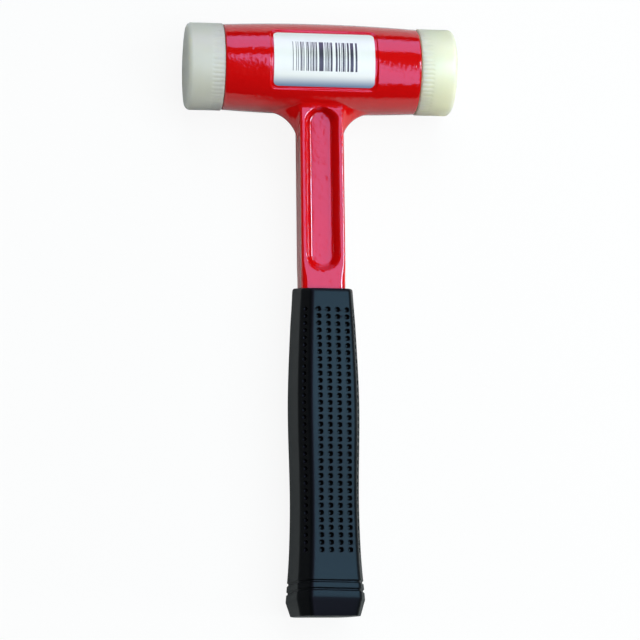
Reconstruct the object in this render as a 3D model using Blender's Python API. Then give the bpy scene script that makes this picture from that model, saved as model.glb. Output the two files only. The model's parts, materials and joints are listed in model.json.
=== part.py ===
"""Dead blow hammer: a one-piece cast head and shaft, two screw-in nylon faces and a sleeve grip.

The barrel of the head is bored through. Steel shot runs loose in the middle of the bore, a pressed cup
closes the bore on each side of it, and the stub of a nylon face screws into each end over a sealing ring.

Every piece is modelled in the hammer's own axes: X along the head, +Y up the handle to the head, +Z out
of the front, with the origin at the middle of the head. An empty then lays the hammer on its back, with
the barrel and the flare of the grip on the surface below. All sizes are in metres.
"""

import math

import bmesh
import bpy
from mathutils import Matrix, Vector

# Barrel of the head
BARREL_LENGTH = 0.1014
BARREL_MID_R = 0.0235
BARREL_END_R = 0.0221
BARREL_EDGE = 0.0008
BARREL_SIDES = 48
BARREL_STATIONS = 8

# Bore through the barrel: shot chamber, threaded sockets and seats for the sealing rings
CHAMBER_R = 0.0155
SOCKET_R = 0.0170
SOCKET_DEPTH = 0.0180
SEAT_R = 0.0196
SEAT_DEPTH = 0.0024

# Shallow pocket for a label, on the front of the barrel
POCKET_LENGTH = 0.0552
POCKET_HEIGHT = 0.0312
POCKET_CORNER = 0.0032
POCKET_FLOOR_R = 0.0226

# Shaft, from the barrel down into the grip
SHAFT_HALF_WIDTH = 0.0114
SHAFT_HALF_DEPTH = 0.0096
SHAFT_EDGE = 0.0013
NECK_SIDE_FILLET = 0.0172
NECK_FRONT_FILLET = 0.0030
NECK_INSIDE_BARREL = 0.0055
NECK_STEPS = 8
TANG_EDGE = 0.0030
TANG_EDGE_STARTS = 0.1024
TANG_EDGE_DONE = 0.1139
TANG_END = 0.2520
TANG_HALF_WIDTH = 0.0080
TANG_HALF_DEPTH = 0.0055

# Long recess in the front and the back of the shaft, with round ends and sloped walls, steepest at the top
RECESS_FLOOR_TOP = 0.0232
RECESS_FLOOR_BOTTOM = 0.1052
RECESS_HALF_WIDTH = 0.0086
RECESS_FLOOR_HALF_WIDTH = 0.00525
RECESS_TOP_STEEPNESS = 4.0
WEB_HALF_THICKNESS = 0.0036

# Nylon faces
FACE_R = 0.0225
FACE_REACH = 0.0190
FACE_EDGE = 0.0025
STUB_R = 0.0167
STUB_CHAMFER = 0.0010
RIB_COUNT = 60
RIB_BAND = 0.0066
RIB_DEPTH = 0.00045

# Pressed cup that closes the shot chamber, and sealing ring under each face
CUP_WALL = 0.0015
CUP_DEPTH = 0.0045
SEAL_THICKNESS = 0.0020

# Steel shot, in layers of one ball with six round it
BALL_R = 0.00495
BALL_PITCH = 0.0102
BALL_LAYERS = 5

# Sleeve grip: an eight-sided section with soft corners, turned a little round the shaft. Its mouth rises
# towards the back and lies a little to the right, and the widest place of its butt falls towards the back.
GRIP_TOP = 0.1184
GRIP_END = 0.2828
GRIP_FLARE = 0.2752
GRIP_END_INSET = 0.0021
GRIP_TURN = math.radians(11.8)
GRIP_CORNER = 0.0028
MOUTH_SLANT = 0.15
MOUTH_SHIFT = 0.0005
MOUTH_EDGE = 0.0003
BUTT_SLANT = 0.09
FLAT_SHARE = 0.74
SIDE_SHARE = 0.53
GROOVES = (0.2653, 0.2697)
GROOVE_DEPTH = 0.0006
GROOVE_HALF_WIDTH = 0.0007

# Distance below the head's axis, half width and half depth along the grip
GRIP_PROFILE = (
    (GRIP_TOP, 0.0140, 0.0130),
    (0.1380, 0.0153, 0.0139),
    (0.1760, 0.0166, 0.0150),
    (0.2240, 0.0159, 0.0146),
    (0.2520, 0.0165, 0.0152),
    (GRIP_FLARE, 0.0182, 0.0163),
)

# Dimples of the grip: rows down the handle, and columns across each side of the section that has them
DIMPLE_ROWS = 34
ROWS_PER_RING = 3
DIMPLE_FIRST = 0.1287
DIMPLE_PITCH = 0.003682
DIMPLE_R = 0.0014
DIMPLE_DEPTH = 0.0012
FLAT_COLUMNS = (-0.00762, -0.00254, 0.00254, 0.00762)
DIMPLE_COLUMNS = {0: (0.0,), 1: FLAT_COLUMNS, 2: (0.0,), 4: (0.0,), 5: FLAT_COLUMNS, 6: (0.0,)}

GAP = 0.0003
SMOOTH_UP_TO = math.radians(32)
BARREL_HALF = BARREL_LENGTH / 2


def clear_scene():
    for obj in list(bpy.data.objects):
        bpy.data.objects.remove(obj)


def make_material(name, colour, roughness, metallic=0.0):
    finish = bpy.data.materials.new(name)
    finish.use_nodes = True
    shader = finish.node_tree.nodes["Principled BSDF"]
    shader.inputs["Base Color"].default_value = (*colour, 1.0)
    shader.inputs["Roughness"].default_value = roughness
    shader.inputs["Metallic"].default_value = metallic
    return finish


def make_materials():
    return {
        "paint": make_material("red_gloss_paint", (0.60, 0.012, 0.012), 0.25),
        "nylon": make_material("natural_nylon", (0.82, 0.80, 0.70), 0.45),
        "grip": make_material("black_soft_vinyl", (0.012, 0.012, 0.014), 0.45),
        "seal": make_material("black_nitrile", (0.02, 0.02, 0.02), 0.6),
        "steel": make_material("bright_steel", (0.55, 0.55, 0.56), 0.3, 1.0),
    }


def add_object(name, shape, hammer, finish=None):
    """Puts a bmesh into a named object under the hammer's empty. With no finish it is a cutter."""
    bmesh.ops.recalc_face_normals(shape, faces=shape.faces)
    mesh = bpy.data.meshes.new(name)
    shape.to_mesh(mesh)
    shape.free()
    obj = bpy.data.objects.new(name, mesh)
    bpy.context.scene.collection.objects.link(obj)
    obj.parent = hammer
    if finish is None:
        obj.hide_render = True
        obj.display_type = "WIRE"
        return obj
    mesh.materials.append(finish)
    mesh.shade_smooth()
    mesh.set_sharp_from_angle(angle=SMOOTH_UP_TO)
    return obj


def add_boolean(obj, operation, other):
    step = obj.modifiers.new(f"{operation.lower()}_{other.name}", "BOOLEAN")
    step.operation = operation
    step.object = other
    step.solver = "EXACT"


def arc(centre, radius, start, end, steps):
    """Points of a circular arc between two angles in degrees, both ends included."""
    angles = [math.radians(start + (end - start) * i / steps) for i in range(steps + 1)]
    return [(centre[0] + radius * math.cos(a), centre[1] + radius * math.sin(a)) for a in angles]


def turned(profile, sides, closed=False):
    """Solid turned about X from a profile of (along, radius) points."""
    shape = bmesh.new()
    points = [shape.verts.new((along, 0.0, radius)) for along, radius in profile]
    pairs = list(zip(points, points[1:]))
    if closed:
        pairs.append((points[-1], points[0]))
    edges = [shape.edges.new(pair) for pair in pairs]
    bmesh.ops.spin(shape, geom=points + edges, axis=(1, 0, 0), cent=(0, 0, 0), angle=math.tau,
                   steps=sides, use_merge=True)
    bmesh.ops.remove_doubles(shape, verts=shape.verts, dist=1e-7)
    return shape


def loft(rings):
    """Closed solid through rings of points that have the same count."""
    shape = bmesh.new()
    loops = [[shape.verts.new(point) for point in ring] for ring in rings]
    for low, high in zip(loops, loops[1:]):
        for i in range(len(low)):
            shape.faces.new((low[i - 1], low[i], high[i], high[i - 1]))
    shape.faces.new(loops[0])
    shape.faces.new(loops[-1])
    return shape


def rounded_rectangle(half_width, half_depth, round_x, round_z, steps=4):
    """Outline of a rectangle whose corners are quarter ellipses."""
    outline = []
    for quarter, (sx, sz) in enumerate(((1, 1), (-1, 1), (-1, -1), (1, -1))):
        for x, z in arc((0, 0), 1.0, 90 * quarter, 90 * quarter + 90, steps):
            across = sx * (half_width - round_x) + x * round_x
            outline.append((across, sz * (half_depth - round_z) + z * round_z))
    return outline


def softened(corners, radius, steps=2):
    """Outline of a convex polygon whose corners are arcs of one radius."""
    outline = []
    for i, corner in enumerate(corners):
        point = Vector(corner)
        back = (Vector(corners[i - 1]) - point).normalized()
        ahead = (Vector(corners[(i + 1) % len(corners)]) - point).normalized()
        half = back.angle(ahead) / 2
        centre = point + (back + ahead).normalized() * radius / math.sin(half)
        first = (point + back * radius / math.tan(half) - centre).normalized()
        last = (point + ahead * radius / math.tan(half) - centre).normalized()
        for k in range(steps + 1):
            outline.append(centre + first.slerp(last, k / steps) * radius)
    return outline


def at_height(outline, down):
    """Outline of (x, z) points as a ring this far below the head's axis."""
    return [Vector((x, -down, z)) for x, z in outline]


def through(stations, at):
    """Value at a place on a smooth curve through (place, value) stations."""
    last = len(stations) - 2
    i = max(k for k in range(last + 1) if k == 0 or stations[k][0] <= at)
    (x0, y0), (x1, y1) = stations[i], stations[i + 1]
    before = stations[max(i - 1, 0)]
    after = stations[min(i + 2, last + 1)]
    slope0 = (y1 - before[1]) / (x1 - before[0])
    slope1 = (after[1] - y0) / (after[0] - x0)
    span = x1 - x0
    t = (at - x0) / span
    return (
        (2 * t**3 - 3 * t**2 + 1) * y0
        + (t**3 - 2 * t**2 + t) * span * slope0
        + (3 * t**2 - 2 * t**3) * y1
        + (t**3 - t**2) * span * slope1
    )


def barrel_radius(along):
    return BARREL_MID_R - (BARREL_MID_R - BARREL_END_R) * (along / BARREL_HALF) ** 2


def barrel_form():
    """Slightly barrelled cylinder with a broken edge at each end."""
    inset = BARREL_HALF - BARREL_EDGE
    stations = [inset * (2 * i / BARREL_STATIONS - 1) for i in range(BARREL_STATIONS + 1)]
    profile = [(-BARREL_HALF, 0.0), (-BARREL_HALF, BARREL_END_R - BARREL_EDGE)]
    profile += [(along, barrel_radius(along)) for along in stations]
    profile += [(BARREL_HALF, BARREL_END_R - BARREL_EDGE), (BARREL_HALF, 0.0)]
    return turned(profile, BARREL_SIDES)


def bore_form():
    """Stepped bore: chamber in the middle, then on each side a socket and a seat for the sealing ring."""
    half = [
        (BARREL_HALF - SOCKET_DEPTH, CHAMBER_R),
        (BARREL_HALF - SOCKET_DEPTH, SOCKET_R),
        (BARREL_HALF - SEAT_DEPTH, SOCKET_R),
        (BARREL_HALF - SEAT_DEPTH, SEAT_R),
        (BARREL_HALF + SEAT_DEPTH, SEAT_R),
        (BARREL_HALF + SEAT_DEPTH, 0.0),
    ]
    mirrored = [(-along, radius) for along, radius in reversed(half)]
    return turned(mirrored + half, BARREL_SIDES)


def neck_flare(down, fillet, start):
    """How far a face of the neck stands out: a quarter round that starts this far below the head's axis."""
    rise = min(max(start - down, 0.0), fillet * 0.94)
    return fillet - math.sqrt(fillet**2 - rise**2)


def shaft_outline(half_width, half_depth, edge):
    """Rounded outline of the shaft, with points down its sides that the neck's webs are drawn out from."""
    outline = rounded_rectangle(half_width, half_depth, edge, edge)
    flat = half_depth - edge
    side = [(half_width, flat * share) for share in (-0.75, -0.5, -0.25, 0.0, 0.25, 0.5, 0.75)]
    half = len(outline) // 2
    return side + outline[:half] + [(-x, -z) for x, z in side] + outline[half:]


def neck_ring(down):
    """Section of the neck. Its sides stand out most in the middle of their depth, so that the fillets to the
    barrel are webs behind the shaft's front edges."""
    front_reach = SHAFT_HALF_DEPTH + NECK_FRONT_FILLET
    front_start = math.sqrt((BARREL_MID_R + NECK_FRONT_FILLET) ** 2 - front_reach**2)
    front_flare = neck_flare(down, NECK_FRONT_FILLET, front_start)
    ring = []
    for x, z in shaft_outline(SHAFT_HALF_WIDTH, SHAFT_HALF_DEPTH, SHAFT_EDGE):
        sideways = max(abs(x) - SHAFT_HALF_WIDTH + SHAFT_EDGE, 0.0) / SHAFT_EDGE
        frontways = max(abs(z) - SHAFT_HALF_DEPTH + SHAFT_EDGE, 0.0) / SHAFT_EDGE
        fillet = NECK_SIDE_FILLET * (1 - (abs(z) / SHAFT_HALF_DEPTH) ** 1.5)
        side_flare = neck_flare(down, fillet, BARREL_MID_R + fillet)
        out_x = math.copysign(side_flare * sideways**2, x)
        out_z = math.copysign(front_flare * frontways**2, z)
        ring.append((x + out_x, z + out_z))
    return at_height(ring, down)


def shaft_form():
    """Shaft with a neck that widens into the barrel, and a tang that tapers inside the grip. The shaft's
    crisp edges soften to those of the tang just above the grip."""
    neck_top = BARREL_MID_R - NECK_INSIDE_BARREL
    neck_length = NECK_SIDE_FILLET + NECK_INSIDE_BARREL
    rings = [neck_ring(neck_top + neck_length * i / NECK_STEPS) for i in range(NECK_STEPS + 1)]
    rings.append(neck_ring(TANG_EDGE_STARTS))
    for down in (TANG_EDGE_DONE, GRIP_TOP):
        rings.append(at_height(shaft_outline(SHAFT_HALF_WIDTH, SHAFT_HALF_DEPTH, TANG_EDGE), down))
    rings.append(at_height(shaft_outline(TANG_HALF_WIDTH, TANG_HALF_DEPTH, TANG_EDGE), TANG_END))
    return loft(rings)


def tang_outline(down, clearance):
    """Section of the pocket that holds the tang, this far below the head's axis."""
    share = (down - GRIP_TOP) / (TANG_END - GRIP_TOP)
    half_width = SHAFT_HALF_WIDTH + (TANG_HALF_WIDTH - SHAFT_HALF_WIDTH) * share + clearance
    half_depth = SHAFT_HALF_DEPTH + (TANG_HALF_DEPTH - SHAFT_HALF_DEPTH) * share + clearance
    return rounded_rectangle(half_width, half_depth, TANG_EDGE, TANG_EDGE)


def slot_outline(half_width, top, bottom, steps=8):
    """Long slot with half round ends, as (across, down) points."""
    low = arc((0.0, bottom - half_width), half_width, 0, 180, steps)
    high = arc((0.0, top + half_width), half_width, 180, 360, steps)
    return low + high


def recess_form(side):
    """Slot cutter for the front (side 1) or the back (side -1), which widens outwards from the web."""
    slope = (RECESS_HALF_WIDTH - RECESS_FLOOR_HALF_WIDTH) / (SHAFT_HALF_DEPTH - WEB_HALF_THICKNESS)
    clear_of_neck = SHAFT_HALF_DEPTH + 0.006
    rings = []
    for height in (WEB_HALF_THICKNESS, clear_of_neck):
        grown = slope * (height - WEB_HALF_THICKNESS)
        half_width = RECESS_FLOOR_HALF_WIDTH + grown
        top = RECESS_FLOOR_TOP - grown / RECESS_TOP_STEEPNESS
        outline = slot_outline(half_width, top, RECESS_FLOOR_BOTTOM + grown)
        rings.append([Vector((x, -down, side * height)) for x, down in outline])
    return loft(rings)


def pocket_form():
    """Block with round corners, hollowed from behind by the cylinder that is left as the pocket's floor."""
    outline = rounded_rectangle(POCKET_LENGTH / 2, POCKET_HEIGHT / 2, POCKET_CORNER, POCKET_CORNER)
    heights = (0.004, BARREL_MID_R + 0.004)
    return loft([[Vector((x, y, z)) for x, y in outline] for z in heights])


def add_head_casting(hammer, finish):
    casting = add_object("head_casting", barrel_form(), hammer, finish)
    add_boolean(casting, "UNION", add_object("shaft_form", shaft_form(), hammer))
    pocket = add_object("pocket_cutter", pocket_form(), hammer)
    ends = [(-POCKET_LENGTH, 0.0), (-POCKET_LENGTH, POCKET_FLOOR_R), (POCKET_LENGTH, POCKET_FLOOR_R),
            (POCKET_LENGTH, 0.0)]
    add_boolean(pocket, "DIFFERENCE", add_object("pocket_floor", turned(ends, BARREL_SIDES), hammer))
    add_boolean(casting, "DIFFERENCE", pocket)
    add_boolean(casting, "DIFFERENCE", add_object("front_recess_cutter", recess_form(1), hammer))
    add_boolean(casting, "DIFFERENCE", add_object("back_recess_cutter", recess_form(-1), hammer))
    add_boolean(casting, "DIFFERENCE", add_object("bore_cutter", bore_form(), hammer))


def face_form(side):
    """Nylon face: a plain stub for the socket, a shoulder, and a striking end with a rounded edge."""
    stub_end = BARREL_HALF - SOCKET_DEPTH + CUP_DEPTH + 2 * GAP
    shoulder = BARREL_HALF + GAP
    struck = BARREL_HALF + FACE_REACH
    profile = [
        (stub_end, 0.0),
        (stub_end, STUB_R - STUB_CHAMFER),
        (stub_end + STUB_CHAMFER, STUB_R),
        (shoulder, STUB_R),
        (shoulder, FACE_R - RIB_DEPTH),
        (shoulder + RIB_DEPTH, FACE_R),
    ]
    profile += arc((struck - FACE_EDGE, FACE_R - FACE_EDGE), FACE_EDGE, 90, 0, 2)
    profile.append((struck, 0.0))
    return turned([(side * along, radius) for along, radius in profile], RIB_COUNT)


def rib_grooves_form(side):
    """V grooves along the shoulder end of a face, which leave the ribs that fingers grip to unscrew it."""
    shape = bmesh.new()
    half_angle = math.tau / RIB_COUNT * 0.32
    start = side * BARREL_HALF
    end = side * (BARREL_HALF + RIB_BAND)
    outer = FACE_R + RIB_DEPTH
    for i in range(RIB_COUNT):
        middle = math.tau * (i + 0.5) / RIB_COUNT
        corners = ((FACE_R - RIB_DEPTH, middle), (outer, middle - half_angle), (outer, middle + half_angle))
        rings = []
        for along in (start, end):
            rings.append([shape.verts.new((along, r * math.cos(a), r * math.sin(a))) for r, a in corners])
        near, far = rings
        shape.faces.new(near)
        shape.faces.new(far)
        for k in range(len(corners)):
            shape.faces.new((near[k - 1], near[k], far[k], far[k - 1]))
    return shape


def add_face(name, side, hammer, finish):
    face = add_object(f"{name}_face", face_form(side), hammer, finish)
    add_boolean(face, "DIFFERENCE", add_object(f"{name}_rib_cutter", rib_grooves_form(side), hammer))


def add_core_plug(name, side, hammer, finish):
    """Pressed cup with its closed end to the shot."""
    closed_end = BARREL_HALF - SOCKET_DEPTH + GAP
    rim = closed_end + CUP_DEPTH
    outer = SOCKET_R - GAP
    profile = [
        (closed_end, 0.0),
        (closed_end, outer - CUP_WALL / 2),
        (closed_end + CUP_WALL / 2, outer),
        (rim, outer),
        (rim, outer - CUP_WALL),
        (closed_end + CUP_WALL, outer - CUP_WALL),
        (closed_end + CUP_WALL, 0.0),
    ]
    shape = turned([(side * along, radius) for along, radius in profile], 32)
    add_object(f"{name}_core_plug", shape, hammer, finish)


def add_face_seal(name, side, hammer, finish):
    """Ring of round section in the seat at the barrel's end."""
    middle = (BARREL_HALF - SEAT_DEPTH / 2, (STUB_R + SEAT_R) / 2)
    ring = arc((side * middle[0], middle[1]), SEAL_THICKNESS / 2, 0, 360, 6)[:-1]
    add_object(f"{name}_face_seal", turned(ring, 32, closed=True), hammer, finish)


def add_shot(hammer, finish):
    """Loose balls in layers across the chamber, each layer turned half a step from the last."""
    number = 0
    for layer in range(BALL_LAYERS):
        along = BALL_PITCH * (layer - (BALL_LAYERS - 1) / 2)
        places = [(0.0, 0.0)]
        for i in range(6):
            angle = math.radians(60 * i + 30 * (layer % 2))
            places.append((BALL_PITCH * math.cos(angle), BALL_PITCH * math.sin(angle)))
        for y, z in places:
            number += 1
            shape = bmesh.new()
            bmesh.ops.create_uvsphere(shape, u_segments=8, v_segments=4, radius=BALL_R)
            bmesh.ops.translate(shape, verts=shape.verts, vec=(along, y, z))
            add_object(f"shot_ball_{number:02d}", shape, hammer, finish)


def grip_corners(down, inset=0.0):
    """Corners of the grip's eight-sided section, turned round the shaft as the sleeve sits."""
    half_width = through([(at, width) for at, width, _ in GRIP_PROFILE], down) - inset
    half_depth = through([(at, depth) for at, _, depth in GRIP_PROFILE], down) - inset
    eighth = [
        (half_width, SIDE_SHARE * half_depth),
        (FLAT_SHARE * half_width, half_depth),
    ]
    quarter = eighth + [(-x, z) for x, z in reversed(eighth)]
    turn = Matrix.Rotation(-GRIP_TURN, 2)
    aside = Vector((MOUTH_SHIFT * (GRIP_END - down) / (GRIP_END - GRIP_TOP), 0.0))
    return [turn @ Vector(point) + aside for point in quarter + [(-x, -z) for x, z in quarter]]


def smooth_share(low, high, value):
    """Rises from 0 at low to 1 at high along a cubic with level ends."""
    share = min(max((value - low) / (high - low), 0.0), 1.0)
    return share * share * (3 - 2 * share)


def grip_ring(down, inset=0.0, place=None):
    """Ring of the grip's section at a place down the handle, slanted at the mouth and at the flare."""
    place = down if place is None else place
    last_row = DIMPLE_FIRST + DIMPLE_PITCH * (DIMPLE_ROWS - 1)
    at_mouth = smooth_share(DIMPLE_FIRST - 0.0015, GRIP_TOP, place)
    at_butt = smooth_share(last_row + 0.004, GRIP_FLARE, place) * smooth_share(GRIP_END, GRIP_FLARE, place)
    front = GRIP_PROFILE[0][2]
    ring = []
    for x, z in softened(grip_corners(down, inset), GRIP_CORNER):
        slant = MOUTH_SLANT * at_mouth * (z - front) - BUTT_SLANT * at_butt * z
        ring.append(Vector((x, -place - slant, z)))
    return ring


def grip_form():
    """Sleeve that swells in the palm, narrows, and flares to a butt with two grooves and a tapered end. The
    rings of the dimpled length lie midway between rows of dimples."""
    rings = [grip_ring(GRIP_TOP, MOUTH_EDGE), grip_ring(GRIP_TOP, 0.0, GRIP_TOP + MOUTH_EDGE)]
    for row in range(0, DIMPLE_ROWS, ROWS_PER_RING):
        rings.append(grip_ring(DIMPLE_FIRST + DIMPLE_PITCH * (row - 0.5)))
    for middle in GROOVES:
        rings.append(grip_ring(middle - GROOVE_HALF_WIDTH))
        rings.append(grip_ring(middle, GROOVE_DEPTH))
        rings.append(grip_ring(middle + GROOVE_HALF_WIDTH))
    rings.append(grip_ring(GRIP_FLARE))
    rings.append(grip_ring(GRIP_FLARE, GRIP_END_INSET, GRIP_END))
    return loft(rings)


def add_pit(shape, middle, along, outward):
    """Four-sided point that presses one dimple, from clear of the surface down to the dimple's depth."""
    clear = 0.0005
    reach = DIMPLE_R * (DIMPLE_DEPTH + clear) / DIMPLE_DEPTH
    handle = Vector((0.0, 1.0, 0.0))
    tip = shape.verts.new(middle - outward * DIMPLE_DEPTH)
    above = middle + outward * clear
    rim = [shape.verts.new(above + way * reach) for way in (along, handle, -along, -handle)]
    shape.faces.new(rim)
    for i in range(len(rim)):
        shape.faces.new((rim[i - 1], rim[i], tip))


def dimples_form():
    """All the points that press the dimples into the grip's front, back and corner sides."""
    shape = bmesh.new()
    for row in range(DIMPLE_ROWS):
        down = DIMPLE_FIRST + DIMPLE_PITCH * row
        corners = grip_corners(down)
        for side, offsets in DIMPLE_COLUMNS.items():
            first, second = corners[side], corners[side + 1]
            way = (second - first).normalized()
            along = Vector((way.x, 0.0, way.y))
            outward = Vector((way.y, 0.0, -way.x))
            middle = (first + second) / 2
            for offset in offsets:
                place = middle + way * offset
                add_pit(shape, Vector((place.x, -down, place.y)), along, outward)
    return shape


def add_grip(hammer, finish):
    grip = add_object("grip_sleeve", grip_form(), hammer, finish)
    above = GRIP_TOP - 0.006
    below = TANG_END + 2 * GAP
    pocket = loft([at_height(tang_outline(above, GAP), above), at_height(tang_outline(below, GAP), below)])
    add_boolean(grip, "DIFFERENCE", add_object("tang_cutter", pocket, hammer))
    add_boolean(grip, "DIFFERENCE", add_object("dimple_cutter", dimples_form(), hammer))


def lay_on_back(hammer):
    """Rests the barrel and the flare of the grip on z = 0, with the middle of the box over the origin."""
    lowest = min(grip_ring(GRIP_FLARE), key=lambda point: point.z)
    tilt = math.asin(BARREL_MID_R / math.hypot(lowest.y, lowest.z)) - math.atan2(-lowest.z, -lowest.y)
    end_top = max(point.z for point in grip_ring(GRIP_FLARE, GRIP_END_INSET, GRIP_END))
    far_end = GRIP_END * math.cos(tilt) + end_top * math.sin(tilt)
    hammer.location = (0.0, (far_end - BARREL_MID_R) / 2, BARREL_MID_R)
    hammer.rotation_euler = (tilt, 0.0, 0.0)


def main():
    clear_scene()
    finishes = make_materials()
    hammer = bpy.data.objects.new("hammer", None)
    bpy.context.scene.collection.objects.link(hammer)
    add_head_casting(hammer, finishes["paint"])
    for name, side in (("left", -1), ("right", 1)):
        add_face(name, side, hammer, finishes["nylon"])
        add_face_seal(name, side, hammer, finishes["seal"])
        add_core_plug(name, side, hammer, finishes["steel"])
    add_shot(hammer, finishes["steel"])
    add_grip(hammer, finishes["grip"])
    lay_on_back(hammer)


main()
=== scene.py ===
"""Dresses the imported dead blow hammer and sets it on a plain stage.

Every surface is worked out in the hammer's own axes: X along the head, +Y up the handle to the head and
+Z out of the front, with the origin in the middle of the head. One turn and one shift, both read from the
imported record, then lay it on its back in the frame of the CAD model. All sizes are in metres.
"""

import json
import math

import bpy
import numpy as np
from mathutils import Matrix, Vector


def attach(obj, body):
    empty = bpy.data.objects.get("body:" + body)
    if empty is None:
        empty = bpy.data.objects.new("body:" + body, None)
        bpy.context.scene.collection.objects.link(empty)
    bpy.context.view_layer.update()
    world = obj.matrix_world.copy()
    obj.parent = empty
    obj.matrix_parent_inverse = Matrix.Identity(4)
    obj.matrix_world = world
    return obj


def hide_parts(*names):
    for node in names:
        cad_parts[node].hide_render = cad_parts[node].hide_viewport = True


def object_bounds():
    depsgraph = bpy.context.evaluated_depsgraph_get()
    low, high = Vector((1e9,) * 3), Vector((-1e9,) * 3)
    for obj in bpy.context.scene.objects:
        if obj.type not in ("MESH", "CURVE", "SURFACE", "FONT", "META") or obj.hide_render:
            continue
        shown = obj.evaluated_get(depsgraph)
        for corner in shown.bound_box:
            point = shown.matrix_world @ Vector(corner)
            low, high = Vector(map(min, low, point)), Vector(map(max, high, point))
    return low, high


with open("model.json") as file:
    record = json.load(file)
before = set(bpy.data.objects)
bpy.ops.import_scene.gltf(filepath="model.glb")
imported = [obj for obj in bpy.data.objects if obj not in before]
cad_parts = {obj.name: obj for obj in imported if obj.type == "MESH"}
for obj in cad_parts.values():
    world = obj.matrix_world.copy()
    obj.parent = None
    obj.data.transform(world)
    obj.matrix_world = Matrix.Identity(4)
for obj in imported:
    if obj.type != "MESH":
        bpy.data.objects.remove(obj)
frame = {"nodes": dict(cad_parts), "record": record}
CAD_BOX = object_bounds()

bl_info = {
    "name": "Dead Blow Hammer",
    "version": (1, 0, 0),
    "blender": (4, 5, 0),
    "location": "View3D > Sidebar > Hammer",
    "description": "Builds the finished surfaces, materials and stage of a dead blow hammer",
    "category": "Add Mesh",
}

RECORD = frame["record"]
JOINTS = {joint["name"]: joint for joint in RECORD["behaviour"]["joints"]}
COUPLINGS = {coupling["joint"]: coupling for coupling in RECORD["behaviour"]["couplings"]}
MOUNTS = {mount["name"]: mount for mount in RECORD["mounts"]}

# Middle of the head, and the slant at which the hammer lies on its back
HEAD = np.array([0.0, *JOINTS["right_face_turn"]["pos_m"][1:]])
LIE = math.asin(-MOUNTS["butt_end"]["axis"][2])
AXES = np.array([[1, 0, 0], [0, math.cos(LIE), math.sin(LIE)], [0, -math.sin(LIE), math.cos(LIE)]])
BARREL_HALF = JOINTS["right_face_turn"]["pos_m"][0]
FACE_PLANE = MOUNTS["right_striking_face"]["pos_m"][0]
THREAD_LEAD = COUPLINGS["right_face_travel"]["ratio"] * math.tau
SIDES = {"left": -1, "right": 1}

# Edges that bend by more than this are shaded sharp
SHARP_BEND = math.radians(35)

# Keeps a division away from zero
TINY = 1e-12

# Stations that are closer than this count as one
NEAR = 1e-5

# Points along the barrel's outside, at the pocket's edge, on its rim and on its thread, and steps round it
BARREL_POINTS = (64, 10, 4, 76)
BARREL_STEPS = 180

# Half width of the pocket's wall, and reach of the closer points at its edge, along and round the barrel
POCKET_WALL = 0.0004
POCKET_EDGE = 0.0009
POCKET_EDGE_TURN = 0.04

# Rounding of the recess's rim and of its floor's edge
RECESS_RIM = 0.0007
RECESS_ROOT = 0.0003

# Points on the front, a side and a corner of the shaft's section, and rows along the shaft and the neck
SHAFT_POINTS = (64, 14, 9)
SHAFT_ROWS = 136
NECK_ROWS = 42

# How full the neck's side webs stay towards the front, and how far they end under the barrel's surface
WEB_POWER = 1.5
NECK_SUNK = 0.0012

# Places below the head's axis, with the half width and the half depth of the grip's section there
GRIP_SECTIONS = (
    (0.1184, 0.0140, 0.0130),
    (0.1380, 0.0153, 0.0139),
    (0.1760, 0.0166, 0.0150),
    (0.2240, 0.0159, 0.0146),
    (0.2520, 0.0165, 0.0152),
    (0.2752, 0.0182, 0.0163),
)
GRIP_PLACES, GRIP_HALF_WIDTHS, GRIP_HALF_DEPTHS = np.array(GRIP_SECTIONS).T
GRIP_GROOVES = (0.2665, 0.2709)

# Outside and inside of a groove's rim, and reach of the closer rows at it, in half widths of the groove
GROOVE_RIM = (1.3, 0.4)
GROOVE_REACH = 1.6

# Rows of points between the grip's mouth and its dimples, from the dimples to the butt, and across a groove
GRIP_ROWS = (8, 18, 11)

# Sides of the grip's section, counted from the right front chamfer round by the front
FLAT_SIDES = (1, 5)
CHAMFER_SIDES = (0, 2, 4, 6)
CORNER_POINTS = 7

# Stations along a plain side, outermost stations of the other sides, and room left beside a round corner
PLAIN_STATIONS = np.linspace(-0.004, 0.004, 5)
FLAT_ENDS = (-0.0094, 0.0094)
CHAMFER_ENDS = (-0.0021, 0.0021)
SIDE_MARGIN = 0.0001

# Rounding of the butt's end along the handle and across it, and widening of the pocket at the mouth
END_ROUND = (0.00018, 0.0003)
POCKET_LIP = 0.0001

# Outside and inside of a dimple's rim, and stations across a dimple, in dimple radii
DIMPLE_RIM = (1.1, 0.5)
DIMPLE_SHARES = np.array([-1.28, -1.1, -0.95, -0.72, -0.38, 0, 0.38, 0.72, 0.95, 1.1, 1.28])

# Points along a face's thread, lip, ribbed band and rim, points to a rib, and length in which ribs run out
FACE_POINTS = (64, 4, 14, 10)
RIB_POINTS = 10
RIB_RUN_OUT = 0.0012

# Points round a sealing ring's section and round the ring
SEAL_POINTS = (24, 120)

# Points on the long edges, the short edges and a corner of the label, and outlines one inside another
LABEL_POINTS = (40, 24, 8)
LABEL_ROWS = 13

# Share of the label's cells that are dark
DARK_SHARE = 0.58

# Pitch of the tool rings on the nylon, and the length at which a wave texture repeats at a scale of 1
RING_MILLIMETRES = 3.77
WAVE_REPEAT = math.tau / 20

# Share of the paper's look that is its own light, half width of its sheet, and its gap under the hammer
PAPER_GLOW = 0.9
FLOOR_HALF = 3.0
FLOOR_GAP = 0.0002

# Light from all round, and the place on the handle that the lamps face
WHITE = (1, 1, 1, 1)
WORLD_STRENGTH = 0.02
LAMP_TARGET = np.array([0, -0.13, 0])

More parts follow.
